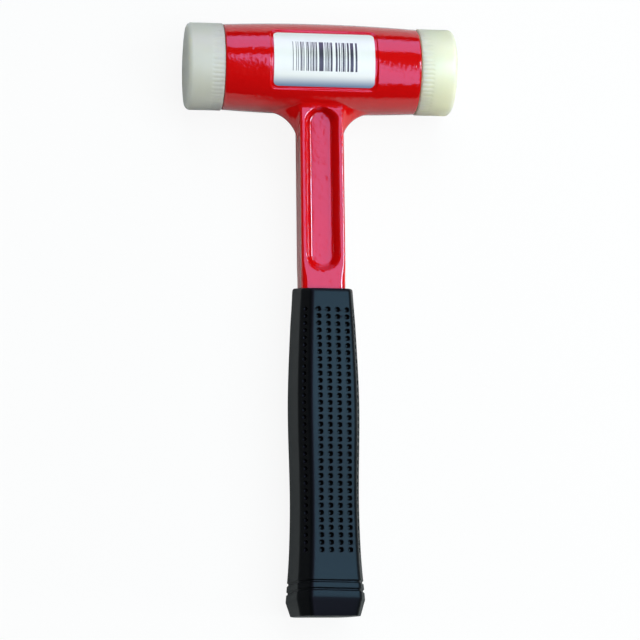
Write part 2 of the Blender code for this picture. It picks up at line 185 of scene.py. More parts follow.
# Lamps: name, angles aside and above in degrees, distance, width and height, power in watts, colour, lean
NEAR_WHITE = (0.91, 1.0, 0.99)
VIOLET = (0.6, 0.45, 1.0)
FILLS = (
    ("front_fill", (24, -6), 1.6, (1.6, 1.6), 24, NEAR_WHITE, 0),
    ("top_fill", (5, 45), 1.6, (1.0, 1.0), 10, NEAR_WHITE, 0),
    ("left_end_fill", (-83, -5), 1.4, (0.6, 0.25), 6.5, (0.95, 1.0, 0.98), 0),
    ("right_end_fill", (83, -12), 1.2, (0.5, 0.2), 9, (1.0, 0.97, 0.82), 0),
)
CARDS = (
    ("window_card", (13, -9), 1.2, (0.31, 1.66), 6.8, VIOLET, 18),
    ("top_card", (5, 60), 1.2, (1.1, 0.7), 9, VIOLET, 0),
    ("right_card", (34, 8), 1.2, (0.44, 0.44), 21, (0.33, 0.7, 1.0), 0),
)


def linear(code):
    """Linear red, green, blue and alpha of an sRGB hex code."""
    parts = np.array([int(code[i : i + 2], 16) for i in (1, 3, 5)]) / 255
    values = np.where(parts <= 0.04045, parts / 12.92, ((parts + 0.055) / 1.055) ** 2.4)
    return (*values.tolist(), 1.0)


def length(name, description, default):
    """A size in metres that a user can change."""
    return bpy.props.FloatProperty(
        name=name, description=description, default=default, unit="LENGTH", precision=5
    )


def number(name, description, default, subtype="NONE"):
    """A plain number that a user can change."""
    return bpy.props.FloatProperty(name=name, description=description, default=default, subtype=subtype)


def whole(name, description, default, least):
    """A whole number that a user can change."""
    return bpy.props.IntProperty(name=name, description=description, default=default, min=least)


def colour(name, description, code):
    """A colour that a user can change."""
    return bpy.props.FloatVectorProperty(
        name=name, description=description, default=linear(code), subtype="COLOR", size=4, min=0, max=1
    )


class HammerCastingSizes(bpy.types.PropertyGroup):
    """Sizes of the one-piece head and shaft."""

    belly_radius: length("Belly Radius", "Radius of the barrel at its middle", 0.0235)
    end_radius: length("End Radius", "Radius of the barrel at its ends", 0.0221)
    end_edge: length("End Edge", "Rounding of the barrel's ends", 0.0008)
    chamber_radius: length("Chamber Radius", "Radius of the bore that holds the shot", 0.0155)
    socket_radius: length("Socket Radius", "Radius over the crests of the socket's thread", 0.0170)
    socket_depth: length("Socket Depth", "Depth of the socket from the barrel's end", 0.0180)
    seat_radius: length("Seat Radius", "Radius of the seat for the sealing ring", 0.0196)
    seat_depth: length("Seat Depth", "Depth of the seat for the sealing ring", 0.0024)
    thread_depth: length("Thread Depth", "Depth of the thread", 0.0008)
    pocket_length: length("Pocket Length", "Length of the label pocket along the barrel", 0.0552)
    pocket_height: length("Pocket Height", "Height of the label pocket, seen from the front", 0.0312)
    pocket_corner: length("Pocket Corner", "Corner radius of the label pocket", 0.0032)
    pocket_floor_radius: length("Pocket Floor Radius", "Radius of the pocket's floor", 0.0226)
    shaft_half_width: length("Shaft Half Width", "Half of the shaft's width along the head", 0.0114)
    shaft_half_depth: length("Shaft Half Depth", "Half of the shaft's depth from front to back", 0.0096)
    shaft_edge: length("Shaft Edge", "Rounding of the shaft's long edges", 0.0013)
    neck_side: length("Neck Side Fillet", "Fillet from the shaft's sides to the barrel", 0.0172)
    neck_front: length("Neck Front Fillet", "Fillet from the shaft's front to the barrel", 0.0030)
    floor_top: length("Recess Floor Top", "Upper end of the recess's floor below the axis", 0.0232)
    floor_bottom: length("Recess Floor Bottom", "Lower end of the recess's floor below the axis", 0.1052)
    recess_half_width: length("Recess Half Width", "Half width of the recess at its rim", 0.0086)
    floor_half_width: length("Floor Half Width", "Half width of the recess at its floor", 0.0057)
    web_half: length("Web Half Thickness", "Half thickness of the web between the recesses", 0.0036)
    top_wall: number("Top Wall", "How much steeper the recess's top wall is than its sides", 4.0)
    tang_edge: length("Tang Edge", "Rounding of the tang's long edges", 0.0030)
    tang_edge_starts: length("Tang Edge Starts", "Where the shaft's edges start to soften", 0.1024)
    tang_edge_done: length("Tang Edge Done", "Where the shaft's edges are as soft as the tang's", 0.1139)
    tang_end: length("Tang End", "End of the tang below the head's axis", 0.2520)
    tang_half_width: length("Tang Half Width", "Half width of the tang at its end", 0.0080)
    tang_half_depth: length("Tang Half Depth", "Half depth of the tang at its end", 0.0055)


class HammerFaceSizes(bpy.types.PropertyGroup):
    """Sizes of the nylon faces and their sealing rings."""

    radius: length("Radius", "Outer radius of a face", 0.0225)
    edge: length("Edge", "Rounding of the striking edge", 0.0027)
    stub_end: length("Stub End", "Inner end of the stub from the middle of the head", 0.0378)
    stub_radius: length("Stub Radius", "Radius of the plain neck of the stub", 0.0167)
    stub_clearance: length("Stub Clearance", "Room between the threads of stub and socket", 0.0003)
    stub_chamfer: length("Stub Chamfer", "Chamfer at the inner end of the stub", 0.0009)
    lip: length("Lip", "Rounding of the shoulder next to the barrel", 0.0005)
    rib_band: length("Rib Band", "Length of the ribbed band next to the barrel", 0.0066)
    rib_depth: length("Rib Depth", "Depth of the grooves between the ribs", 0.00025)
    ribs: whole("Ribs", "Ribs round a face", 60, 8)
    seal_thickness: length("Seal Thickness", "Thickness of a sealing ring", 0.0020)
    gap: length("Gap", "Room between a face's shoulder and the barrel", 0.0003)


class HammerGripSizes(bpy.types.PropertyGroup):
    """Sizes of the sleeve grip, with its places as distances below the head's axis."""

    top: length("Top", "Mouth of the sleeve", 0.1179)
    flare: length("Flare", "Widest place of the butt", 0.2752)
    end: length("End", "End of the butt", 0.2828)
    end_inset: length("End Inset", "How far the skirt tapers in to the end", 0.0021)
    corner: length("Corner", "Rounding of the section's corners", 0.0028)
    mouth_slant: number("Mouth Slant", "Rise of the mouth from the front to the back", 0.15)
    butt_slant: number("Butt Slant", "Fall of the butt's widest place from the front to the back", 0.09)
    mouth_shift: length("Mouth Shift", "How far the mouth lies to the right of the shaft's middle", 0.0005)
    mouth_edge: length("Mouth Edge", "How far the mouth's rim rounds inwards", 0.0009)
    mouth_round: length("Mouth Round", "How far the mouth's rounding runs down the sleeve", 0.0016)
    wall_gap: length("Wall Gap", "Room between the sleeve and the tang", 0.0003)
    flat_share: number("Flat Share", "Front flat's share of the section's width", 0.74, "FACTOR")
    side_share: number("Side Share", "Side's share of the section's depth", 0.53, "FACTOR")
    turn: number("Turn", "Turn of the sleeve round the shaft", math.radians(11.8), "ANGLE")
    first_row: length("First Row", "First row of dimples", 0.1287)
    row_pitch: length("Row Pitch", "Distance between rows of dimples", 0.003682)
    rows: whole("Rows", "Rows of dimples", 34, 1)
    column_pitch: length("Column Pitch", "Distance between columns of dimples on a flat", 0.00508)
    column_shift: length("Column Shift", "How far the columns lie to the right of a flat's middle", 0.0006)
    dimple_radius: length("Dimple Radius", "Radius of a dimple", 0.0012)
    dimple_depth: length("Dimple Depth", "Depth of a dimple in the flats", 0.0020)
    chamfer_depth: length("Chamfer Depth", "Depth of a dimple in the chamfers", 0.0016)
    groove_depth: length("Groove Depth", "Depth of the grooves above the butt", 0.0006)
    groove_half_width: length("Groove Half Width", "Half width of the grooves above the butt", 0.0007)


class HammerLabelSizes(bpy.types.PropertyGroup):
    """Sizes of the label in the barrel's pocket."""

    length: length("Length", "Length along the barrel", 0.0522)
    height: length("Height", "Height round the barrel", 0.0304)
    corner: length("Corner", "Corner radius", 0.0026)
    thickness: length("Thickness", "Thickness of the label", 0.00012)
    glue: length("Glue", "Thickness of the glue under the label", 0.00003)
    bar: length("Bar", "Width of the narrowest bar", 0.00033)


class HammerColours(bpy.types.PropertyGroup):
    """Colours of the hammer's finishes and of the background paper."""

    paint: colour("Paint", "Gloss enamel on the casting", "#DC0B0D")
    # The two faces are one natural nylon: the right face's colour is painted paler and yellower than the
    # left's, as painted light for the stronger, warmer light on that end
    left_nylon: colour("Left Nylon", "Natural nylon of the left face", "#DADAD0")
    right_nylon_painted_lit: colour("Right Nylon", "Natural nylon of the right face", "#F2F4D8")
    vinyl: colour("Vinyl", "Soft vinyl of the grip", "#08090B")
    label: colour("Label", "Paper of the label", "#EEF2F0")
    ink: colour("Ink", "Bars on the label", "#33353A")
    # Painted shade: a bluish darkening along the label's lower edge, where the paper curves away from the
    # light
    band: colour("Band", "Tint at the label's lower edge", "#6F87AE")
    nitrile: colour("Nitrile", "Sealing rings", "#161616")
    steel: colour("Steel", "Shot and core plugs", "#A8A9AB")
    paper: colour("Paper", "Background paper, as it is seen", "#EEF0F2")
    floor: colour("Floor", "Background paper, in the light that it throws back", "#3A3B3D")


def column(values):
    """Values as an array of one column, which spreads along rows."""
    return np.asarray(values, float)[:, None]


def smoothstep(low, high, value):
    """Rises from 0 at low to 1 at high along a cubic with level ends."""
    share = np.clip((value - low) / (high - low), 0, 1)
    return share * share * (3 - 2 * share)


def soft_min(first, second, width):
    """Lower of two values, with the change from one to the other rounded over width."""
    share = np.clip(0.5 + 0.5 * (second - first) / width, 0, 1)
    return second + (first - second) * share - width * share * (1 - share)


def triangle_wave(turns):
    """0 at every whole turn and 1 half way between."""
    return 1 - np.abs(2 * (turns % 1) - 1)


def around(places, spread, steps):
    """Stations on both sides of each place, for an edge that needs more of them."""
    return np.concatenate([np.linspace(place - spread, place + spread, steps) for place in places])


def merged(*stations):
    """All stations in order, without near doubles."""
    values = np.sort(np.concatenate(stations))
    return values[np.concatenate([[True], np.diff(values) > NEAR])]


def arc(centre, radius, start, end, steps):
    """Points of a circular arc between two angles in degrees, as an array of pairs."""
    angles = np.radians(np.linspace(start, end, steps))
    return np.stack([centre[0] + radius * np.cos(angles), centre[1] + radius * np.sin(angles)], axis=1)


def level(along, radius):
    """Profile points at one radius, as an array of pairs."""
    return np.stack([along, np.full_like(along, radius)], axis=1)


def unit(vectors):
    """The vectors of each row at a length of 1."""
    return vectors / np.linalg.norm(vectors, axis=1, keepdims=True)


def spline(places, values, at):
    """Smooth curve through values at places: a cubic between each two, with the slope of the neighbours."""
    first = np.clip(np.searchsorted(places, at, side="right") - 1, 0, len(places) - 2)
    padded_places = np.concatenate([places[:1], places, places[-1:]])
    padded_values = np.concatenate([values[:1], values, values[-1:]])
    slopes = (padded_values[2:] - padded_values[:-2]) / (padded_places[2:] - padded_places[:-2])
    span = places[first + 1] - places[first]
    t = (at - places[first]) / span
    return (
        (2 * t**3 - 3 * t**2 + 1) * values[first]
        + (t**3 - 2 * t**2 + t) * span * slopes[first]
        + (3 * t**2 - 2 * t**3) * values[first + 1]
        + (t**3 - t**2) * span * slopes[first + 1]
    )


def grid_faces(rows, columns, looped):
    """Corner numbers of a closed grid's faces. Each row closes on itself. The last row meets the first when
    looped; otherwise the first and last rows are one point each, which makes a fan of triangles there."""
    if looped:
        index = np.arange(rows * columns).reshape(rows, columns)
        index = np.vstack([index, index[:1]])
    else:
        inner = 1 + np.arange((rows - 2) * columns).reshape(rows - 2, columns)
        last = np.full((1, columns), 1 + inner.size)
        index = np.vstack([np.zeros((1, columns), int), inner, last])
    beside = np.roll(index, -1, axis=1)
    quads = np.stack([index[:-1], beside[:-1], beside[1:], index[1:]], axis=-1)
    if looped:
        return quads.reshape(-1, 4), np.empty((0, 3), int)
    fans = np.concatenate([quads[0][:, [0, 2, 3]], quads[-1][:, [0, 1, 2]]])
    return quads[1:-1].reshape(-1, 4), fans


def grid_points(grid, looped):
    """A grid's points in one list, with the first and last rows as one point each unless it is looped."""
    if looped:
        return grid.reshape(-1, grid.shape[-1])
    return np.vstack([grid[0, :1], grid[1:-1].reshape(-1, grid.shape[-1]), grid[-1, :1]])


def outward(points, quads, fans):
    """Faces with their corners in the order that points them outwards, for which the volume is positive."""
    corners = points[np.concatenate([quads[:, [0, 1, 2]], quads[:, [0, 2, 3]], fans])]
    volume = np.einsum("ij,ij->", corners[:, 0], np.cross(corners[:, 1], corners[:, 2]))
    order = -1 if volume < 0 else 1
    return quads[:, ::order], fans[:, ::order]


def add_mesh(name, grids, looped):
    """Mesh of closed grids of points in the hammer's axes, laid in the frame, with its faces outwards."""
    points = []
    faces = []
    total = 0
    for grid, loop in zip(grids, looped):
        places = grid_points(grid, loop)
        for kind in outward(places, *grid_faces(*grid.shape[:2], loop)):
            faces += (kind + total).tolist()
        points.append(places)
        total += len(places)
    mesh = bpy.data.meshes.new(name)
    mesh.from_pydata((np.concatenate(points) @ AXES + HEAD).tolist(), [], faces)
    return mesh


def add_flat_map(mesh, flat):
    """UV map that gives each corner the place of its point on the flat sheet."""
    corner_points = np.empty(len(mesh.loops), int)
    mesh.loops.foreach_get("vertex_index", corner_points)
    places = flat[corner_points].astype(np.float32)
    mesh.uv_layers.new(name="flat").data.foreach_set("uv", places.ravel())


def add_surface(name, grids, material, body, node=None, looped=(False,), flat=None):
    """One piece from closed grids and a material, on a CAD body. It may stand for a CAD node, which it hides,
    and carry the places of its points on a flat sheet."""
    mesh = add_mesh(name, grids, looped)
    if flat is not None:
        add_flat_map(mesh, flat)
    mesh.materials.append(material)
    mesh.shade_smooth()
    mesh.set_sharp_from_angle(angle=SHARP_BEND)
    piece = bpy.data.objects.new(name, mesh)
    bpy.context.scene.collection.objects.link(piece)
    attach(piece, body)
    if node:
        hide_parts(node)


def full_turn(steps):
    """Angles of a whole turn in even steps, from -180 degrees and short of 180."""
    return np.linspace(-math.pi, math.pi, steps + 1)[:-1]


def turned(along, radius, angles):
    """Surface of revolution about X: each row is a ring at its place along X, with radius by row and angle.
    Angles run from the front (+Z) up to the top of the head (+Y)."""
    grid = np.broadcast_arrays(along, radius * np.sin(angles), radius * np.cos(angles))
    return np.stack(grid, axis=-1)


def thread_turns(along, angles):
    """Turns along a right-hand helix that leads out of the head on both sides."""
    side = np.sign(along)
    return np.abs(along) / THREAD_LEAD + side * (angles / math.tau - 0.25)


def barrel_radius(along, sizes):
    """Outer radius of the barrel, which falls with the square of the distance from its middle."""
    return sizes.belly_radius - (sizes.belly_radius - sizes.end_radius) * (along / BARREL_HALF) ** 2


def pocket_distance(along, across, sizes):
    """Distance out from the pocket's outline, a rectangle with round corners, negative inside it."""
    corner = sizes.pocket_corner
    x = np.abs(along) - (sizes.pocket_length / 2 - corner)
    y = np.abs(across) - (sizes.pocket_height / 2 - corner)
    outside = np.hypot(np.maximum(x, 0), np.maximum(y, 0))
    return outside + np.minimum(np.maximum(x, y), 0) - corner


def pocket_cut(along, radius, angles, sizes):
    """How far the label pocket lowers the front of the barrel: to the floor's radius inside its outline."""
    on_front = (radius > sizes.pocket_floor_radius - sizes.end_edge) & (np.cos(angles) > 0)
    out = pocket_distance(along, radius * np.sin(angles), sizes)
    inside = smoothstep(POCKET_WALL, -POCKET_WALL, out) * on_front
    return np.maximum(radius - sizes.pocket_floor_radius, 0) * inside


def socket_cut(along, radius, angles, sizes):
    """How deep the thread is cut in the sockets: a helix of triangular section that runs out at both ends."""
    edge = sizes.end_edge
    seat = BARREL_HALF - sizes.seat_depth
    shoulder = BARREL_HALF - sizes.socket_depth
    depth = np.abs(along)
    threaded = smoothstep(shoulder, shoulder + edge, depth) * smoothstep(seat, seat - edge, depth)
    on_socket = np.abs(radius - sizes.socket_radius) < edge / 2
    return sizes.thread_depth * triangle_wave(thread_turns(along, angles)) * threaded * on_socket


def barrel_profile(sizes):
    """Section of the barrel's wall as (along, radius) points: out along the bellied outside, round the end,
    in over the seat and the socket to the chamber, and the same on the other side."""
    edge = sizes.end_edge
    seat = BARREL_HALF - sizes.seat_depth
    shoulder = BARREL_HALF - sizes.socket_depth
    outside_points, edge_points, rim_points, thread_points = BARREL_POINTS
    outside = merged(
        np.linspace(0, BARREL_HALF - edge, outside_points),
        around([sizes.pocket_length / 2], POCKET_EDGE, edge_points),
    )
    outer = np.stack([outside, barrel_radius(outside, sizes)], axis=1)
    rim_centre = (BARREL_HALF - edge, barrel_radius(BARREL_HALF - edge, sizes) - edge)
    rim = arc(rim_centre, edge, 75, 0, rim_points)
    mouth = [
        (BARREL_HALF, sizes.seat_radius + edge / 2),
        (BARREL_HALF - edge / 2, sizes.seat_radius),
        (seat, sizes.seat_radius),
        (seat, sizes.socket_radius + sizes.thread_depth),
    ]
    socket = level(np.linspace(seat - edge / 2, shoulder + edge / 2, thread_points), sizes.socket_radius)
    chamber = [
        (shoulder, sizes.socket_radius),
        (shoulder, sizes.chamber_radius),
        (shoulder / 2, sizes.chamber_radius),
        (0, sizes.chamber_radius),
    ]
    half = np.vstack([outer, rim, mouth, socket, chamber])
    return np.vstack([half, half[-2:0:-1] * (-1, 1)])


def barrel_grid(sizes):
    """Bored barrel as one closed band: the section of its wall carried round the head's axis, with the label
    pocket lowered in the outside and the thread cut in the sockets."""
    along, radius = barrel_profile(sizes).T[..., None]
    pocket_edge = math.asin(sizes.pocket_height / 2 / sizes.belly_radius)
    edge_angles = around([-pocket_edge, pocket_edge], POCKET_EDGE_TURN, BARREL_POINTS[1])
    angles = merged(full_turn(BARREL_STEPS), edge_angles)
    lowered = radius - pocket_cut(along, radius, angles, sizes)
    return turned(along, lowered + socket_cut(along, radius, angles, sizes), angles)


def rounded_outline(half_width, half_depth, edge, wide, deep, steps):
    """Rectangle with round corners, as arrays of (x, z) points and outward directions. The front and the back
    have as many points as wide says, the sides as many as deep says, and a corner has steps more."""
    points = []
    normals = []
    half = (half_width, half_depth)
    for quarter, count in enumerate((deep, wide, deep, wide)):
        angle = quarter * math.pi / 2
        normal = np.array([round(math.cos(angle)), round(math.sin(angle))])
        onward = np.array([-normal[1], normal[0]])
        reach = abs(normal @ half)
        run = abs(onward @ half) - edge
        points.append(normal * reach + onward * column(np.linspace(-run, run, count)))
        normals.append(np.broadcast_to(normal, (count, 2)))
        turn = column(np.linspace(0, math.pi / 2, steps + 2)[1:-1])
        bend = normal * np.cos(turn) + onward * np.sin(turn)
        points.append(normal * (reach - edge) + onward * run + bend * edge)
        normals.append(bend)
    return np.vstack(points), np.vstack(normals)


def rounded_reach(angles, half_width, half_depth, edge):
    """Distance from the middle of a rectangle with round corners to its outline, in each direction."""
    across = np.maximum(np.abs(np.cos(angles)), TINY)
    up = np.maximum(np.abs(np.sin(angles)), TINY)
    to_side = half_width / across
    to_front = half_depth / up
    centre = np.array([half_width - edge, half_depth - edge])
    toward = across * centre[0] + up * centre[1]
    to_corner = toward + np.sqrt(np.maximum(toward**2 - centre @ centre + edge**2, 0))
    reach = np.where(to_side * up <= centre[1], to_side, to_corner)
    return np.where(to_front * across <= centre[0], to_front, reach)


def slot_distance(across, down, half_width, top, bottom):
    """Distance out from a long slot with round ends, negative inside it."""
    beyond = np.maximum(np.maximum(top + half_width - down, down - (bottom - half_width)), 0)
    return np.hypot(across, beyond) - half_width


def recess_height(across, down, sizes):
    """Height of the recess above the shaft's mid plane: a level floor, then sloped walls, steepest at the
    top."""
    top = sizes.floor_top
    out = slot_distance(across, down, sizes.floor_half_width, top, sizes.floor_bottom)
    rise = (out + np.sqrt(out**2 + RECESS_ROOT**2)) / 2
    above = np.maximum(top + sizes.floor_half_width - down, 0)
    overhead = above**2 / np.maximum(across**2 + above**2, TINY)
    steepness = 1 + (sizes.top_wall - 1) * overhead
    inset = sizes.recess_half_width - sizes.floor_half_width
    return sizes.web_half + rise * steepness * (sizes.shaft_half_depth - sizes.web_half) / inset


def recessed(rows, sizes):
    """Rows of the shaft with the front and the back lowered to the recess wherever it is deeper."""
    x, y, z = np.moveaxis(rows, 2, 0)
    height = soft_min(np.abs(z), recess_height(x, -y, sizes), RECESS_RIM)
    lowered = np.where(np.abs(x) < sizes.shaft_half_width, np.sign(z) * height, z)
    return np.stack([x, y, lowered], axis=2)


def section_ring(section, down):
    """Row of a section's (x, z) points, at one distance below the head's axis or at one for each point."""
    return np.stack([section[:, 0], -np.broadcast_to(down, len(section)), section[:, 1]], axis=1)


def arc_handle(bend):
    """Handle of a cubic curve that follows an arc with a bend in radians, for a radius of 1."""
    return 4 / 3 * math.tan(bend / 4)


def neck_fillets(outline, normals, sizes):
    """Where the fillet of each point of the shaft's section starts below the head's axis, how far it spreads
    out on the barrel, and how long the handles of its curve are. The front's is an arc that touches the shaft
    and the barrel. The sides' is a quarter circle, largest in the middle of a side."""
    sideways, frontways = normals.T**2
    arc_centre = sizes.belly_radius + sizes.neck_front
    front_start = math.sqrt(arc_centre**2 - (sizes.shaft_half_depth + sizes.neck_front) ** 2)
    front_bend = math.asin(front_start / arc_centre)
    front_spread = sizes.belly_radius * math.cos(front_bend) - sizes.shaft_half_depth
    front_handle = arc_handle(math.pi / 2 - front_bend) * sizes.neck_front
    side_spread = sizes.neck_side * (1 - np.abs(outline[:, 1] / sizes.shaft_half_depth) ** WEB_POWER)
    side_handle = arc_handle(math.pi / 2) * side_spread
    start = (sizes.belly_radius + side_spread) * sideways + front_start * frontways
    spread = side_spread * sideways + front_spread * frontways
    handle = side_handle * sideways + front_handle * frontways
    return start, spread, handle


def shaft_rows(outline, start, sizes, grip):
    """Rows from the grip's mouth to the start of the fillets, with the long edges softer near the grip."""
    soft, _ = rounded_outline(sizes.shaft_half_width, sizes.shaft_half_depth, sizes.tang_edge, *SHAFT_POINTS)
    rows = []
    for share in np.linspace(0, 1, SHAFT_ROWS):
        down = grip.top + (start - grip.top) * share
        softness = column(smoothstep(sizes.tang_edge_starts, sizes.tang_edge_done, down))
        rows.append(section_ring(outline + (soft - outline) * softness, down))
    return np.array(rows)


def neck_rows(outline, normals, fillets, sizes):
    """Rows along the fillets: a cubic curve for each point, which leaves the shaft upwards and lies down on
    the barrel."""
    start, spread, handle = fillets
    foot = outline + normals * column(spread)
    foot_radius = barrel_radius(foot[:, 0], sizes)
    landing = section_ring(foot, np.sqrt(foot_radius**2 - foot[:, 1] ** 2))
    barrel_normal = landing * (0, 1, 1) / column(foot_radius)
    out = section_ring(normals, 0)
    lie = unit(out - barrel_normal * np.sum(out * barrel_normal, axis=1, keepdims=True))
    root = section_ring(outline, start)
    lift = root + column(handle) * (0, 1, 0)
    settle = landing - lie * column(handle)
    t = np.linspace(0, 1, NECK_ROWS)[1:, None, None]
    return (1 - t) ** 3 * root + 3 * t * (1 - t) ** 2 * lift + 3 * t**2 * (1 - t) * settle + t**3 * landing


def closing_rows(landing, sizes):
    """Rows just under the barrel's surface, from the end of the fillets in to one point."""
    section = landing[:, [0, 2]] * (1, 1 - NECK_SUNK / sizes.belly_radius)
    rows = []
    for share in (1, 0.5, 0):
        inner = section * share
        radius = barrel_radius(inner[:, 0], sizes) - NECK_SUNK
        rows.append(section_ring(inner, np.sqrt(radius**2 - inner[:, 1] ** 2)))
    return np.array(rows)


def shaft_grid(sizes, grip):
    """Shaft from the tang's end to the barrel. Its section is carried straight up the handle, then along a
    curve that leaves the shaft upwards and lies down on the barrel, and closes just under the barrel's
    surface. The front and the back are lowered to the recess wherever the recess is deeper."""
    half = (sizes.shaft_half_width, sizes.shaft_half_depth)
    outline, normals = rounded_outline(*half, sizes.shaft_edge, *SHAFT_POINTS)
    tang, _ = rounded_outline(sizes.tang_half_width, sizes.tang_half_depth, sizes.tang_edge, *SHAFT_POINTS)
    foot = [section_ring(tang * 0, sizes.tang_end), section_ring(tang, sizes.tang_end)]
    fillets = neck_fillets(outline, normals, sizes)
    shaft = shaft_rows(outline, fillets[0], sizes, grip)
    neck = neck_rows(outline, normals, fillets, sizes)
    seen = recessed(np.concatenate([shaft, neck]), sizes)
    return np.concatenate([foot, seen, closing_rows(neck[-1], sizes)])


def dimple_stations(centres, radius):
    """Stations across each dimple, closest together at its rim."""
    return (column(centres) + radius * DIMPLE_SHARES).ravel()


def dimple_rows(sizes):
    """Places of the rows of dimples below the head's axis."""
    return sizes.first_row + sizes.row_pitch * np.arange(sizes.rows)


def dimple_columns(sizes):
    """Places of the four columns of dimples across a flat."""
    return sizes.column_pitch * np.array([-1.5, -0.5, 0.5, 1.5]) - sizes.column_shift


def dimple_shape(place, down, columns, sizes):
    """Round dimples in even rows and columns: 0 outside, 1 on their level middle, with a rounded rim."""
    row = np.clip(np.round((down - sizes.first_row) / sizes.row_pitch), 0, sizes.rows - 1)
    beside = np.min(np.abs(place[..., None] - columns), axis=-1)
    away = np.hypot(beside, down - (sizes.first_row + row * sizes.row_pitch))
    return smoothstep(*DIMPLE_RIM, away / sizes.dimple_radius)


def pressed_depth(place, down, side, sizes):
    """Depth of the dimples at each point: four columns of them on the flats and one on the chamfers."""
    on_flats = dimple_shape(place, down, dimple_columns(sizes), sizes) * np.isin(side, FLAT_SIDES)
    on_chamfers = dimple_shape(place, down, np.zeros(1), sizes) * np.isin(side, CHAMFER_SIDES)
    return sizes.dimple_depth * on_flats + sizes.chamfer_depth * on_chamfers


def grip_corners(half_width, half_depth, sizes):
    """Corners of the eight-sided section of every row, from the front end of the right side round by the
    front."""
    beside = np.stack([half_width, sizes.side_share * half_depth], axis=1)
    ahead = np.stack([sizes.flat_share * half_width, half_depth], axis=1)
    quarter = [beside, ahead, ahead * (-1, 1), beside * (-1, 1)]
    return np.array(quarter + [-corner for corner in quarter])


def corner_arc(corner, before, bend, back, radius):
    """Points and outward directions of one round corner in every row, with before as the way along the side
    that leads to it."""
    out = np.stack([before[:, 1], -before[:, 0]], axis=1)
    centre = corner - before * back - out * radius
    turn = (bend * np.linspace(0, 1, CORNER_POINTS))[..., None]
    direction = out[:, None] * np.cos(turn) + before[:, None] * np.sin(turn)
    return centre[:, None] + direction * radius, direction


def grip_outline(half_width, half_depth, sizes):
    """Eight-sided section with round corners for every row at once. Gives (row, point, x and z), the outward
    directions, the place along the side that each point is on, and which side that is, with -1 on corners."""
    flats = merged(dimple_stations(dimple_columns(sizes), sizes.dimple_radius), FLAT_ENDS)
    chamfers = merged(dimple_stations([0], sizes.dimple_radius), CHAMFER_ENDS)
    patterns = (chamfers, flats, chamfers, PLAIN_STATIONS) * 2
    corners = grip_corners(half_width, half_depth, sizes)
    runs = np.roll(corners, -1, axis=0) - corners
    reach = np.linalg.norm(runs, axis=2, keepdims=True)
    onward = runs / reach
    before = np.roll(onward, 1, axis=0)
    bend = np.arccos(np.sum(before * onward, axis=2, keepdims=True))
    back = sizes.corner * np.tan(bend / 2)
    limit = reach / 2 - np.maximum(back, np.roll(back, -1, axis=0)) - SIDE_MARGIN
    points = []
    normals = []
    places = []
    sides = []
    for i, pattern in enumerate(patterns):
        bent, outward_bent = corner_arc(corners[i], before[i], bend[i], back[i], sizes.corner)
        along = pattern * np.minimum(1, limit[i] / np.abs(pattern).max())
        straight = (corners[i] + runs[i] / 2)[:, None] + onward[i][:, None] * along[..., None]
        out = np.stack([onward[i][:, 1], -onward[i][:, 0]], axis=1)
        points += [bent, straight]
        normals += [outward_bent, np.broadcast_to(out[:, None], straight.shape)]
        places += [np.zeros(bent.shape[:2]), along]
        sides += [np.full(CORNER_POINTS, -1), np.full(len(pattern), i)]
    points, normals, places = (np.concatenate(values, axis=1) for values in (points, normals, places))
    return points, normals, places, np.concatenate(sides)


def grip_stations(sizes):
    """Places of the rows down the outside of the grip, and how far its section is drawn in there: round the
    mouth, straight over the dimples, in the grooves and down the skirt."""
    rounding = np.radians([0, 22, 45, 67, 90])
    mouth = sizes.top + sizes.mouth_round * (1 - np.cos(rounding))
    rows = dimple_rows(sizes)
    half = sizes.groove_half_width
    mouth_rows, butt_rows, groove_rows = GRIP_ROWS
    below_mouth = mouth[-1] + 0.0004
    above_dimples = rows[0] - 0.0022
    below_dimples = rows[-1] + 0.0020
    above_flare = sizes.flare - 0.0003
    body = merged(
        np.linspace(below_mouth, above_dimples, mouth_rows),
        dimple_stations(rows, sizes.dimple_radius),
        np.linspace(below_dimples, above_flare, butt_rows),
        around(GRIP_GROOVES, GROOVE_REACH * half, groove_rows),
    )
    skirt = np.array([0.02, 0.25, 0.5, 0.75, 0.93])
    end = [sizes.end - END_ROUND[0], sizes.end]
    end_inset = [sizes.end_inset * 0.98, sizes.end_inset + END_ROUND[1]]
    place = np.concatenate([mouth, body, sizes.flare + (sizes.end - sizes.flare) * skirt, end])
    mouth_inset = sizes.mouth_edge * (1 - np.sin(rounding))
    inset = np.concatenate([mouth_inset, np.zeros(len(body)), sizes.end_inset * skirt, end_inset])
    for groove in GRIP_GROOVES:
        inset += sizes.groove_depth * smoothstep(*GROOVE_RIM, np.abs(place - groove) / half)
    return place, inset


def mouth_front(sizes):
    """Half depth of the grip at its mouth."""
    return spline(GRIP_PLACES, GRIP_HALF_DEPTHS, sizes.top)


def slanted(depth, down, sizes):
    """Places below the head's axis, with the mouth risen and the butt's widest place fallen towards the
    back."""
    mouth_end = sizes.first_row - 0.0015
    butt_start = dimple_rows(sizes)[-1] + 0.004
    at_mouth = smoothstep(mouth_end, sizes.top, down)
    at_butt = smoothstep(butt_start, sizes.flare, down) * smoothstep(sizes.end, sizes.flare, down)
    rise = sizes.mouth_slant * at_mouth * (depth - mouth_front(sizes))
    return down + rise - sizes.butt_slant * at_butt * depth


def pocket_ring(angles, share, clearance, sizes, casting):
    """Row of the tang's pocket at a share of the way from the mouth to the tang's end: a rectangle with round
    corners, with room round the tang. Next to the mouth it follows the mouth's slant."""
    mouth = np.array([casting.shaft_half_width, casting.shaft_half_depth])
    foot = np.array([casting.tang_half_width, casting.tang_half_depth])
    reach = rounded_reach(angles, *(mouth + (foot - mouth) * share + clearance), casting.tang_edge)
    depth = reach * np.sin(angles)
    down = sizes.top + (casting.tang_end - sizes.top) * share
    slant = sizes.mouth_slant * (depth - mouth_front(sizes)) * (share < 0.1)
    return np.stack([reach * np.cos(angles), -down - slant, depth], axis=1)


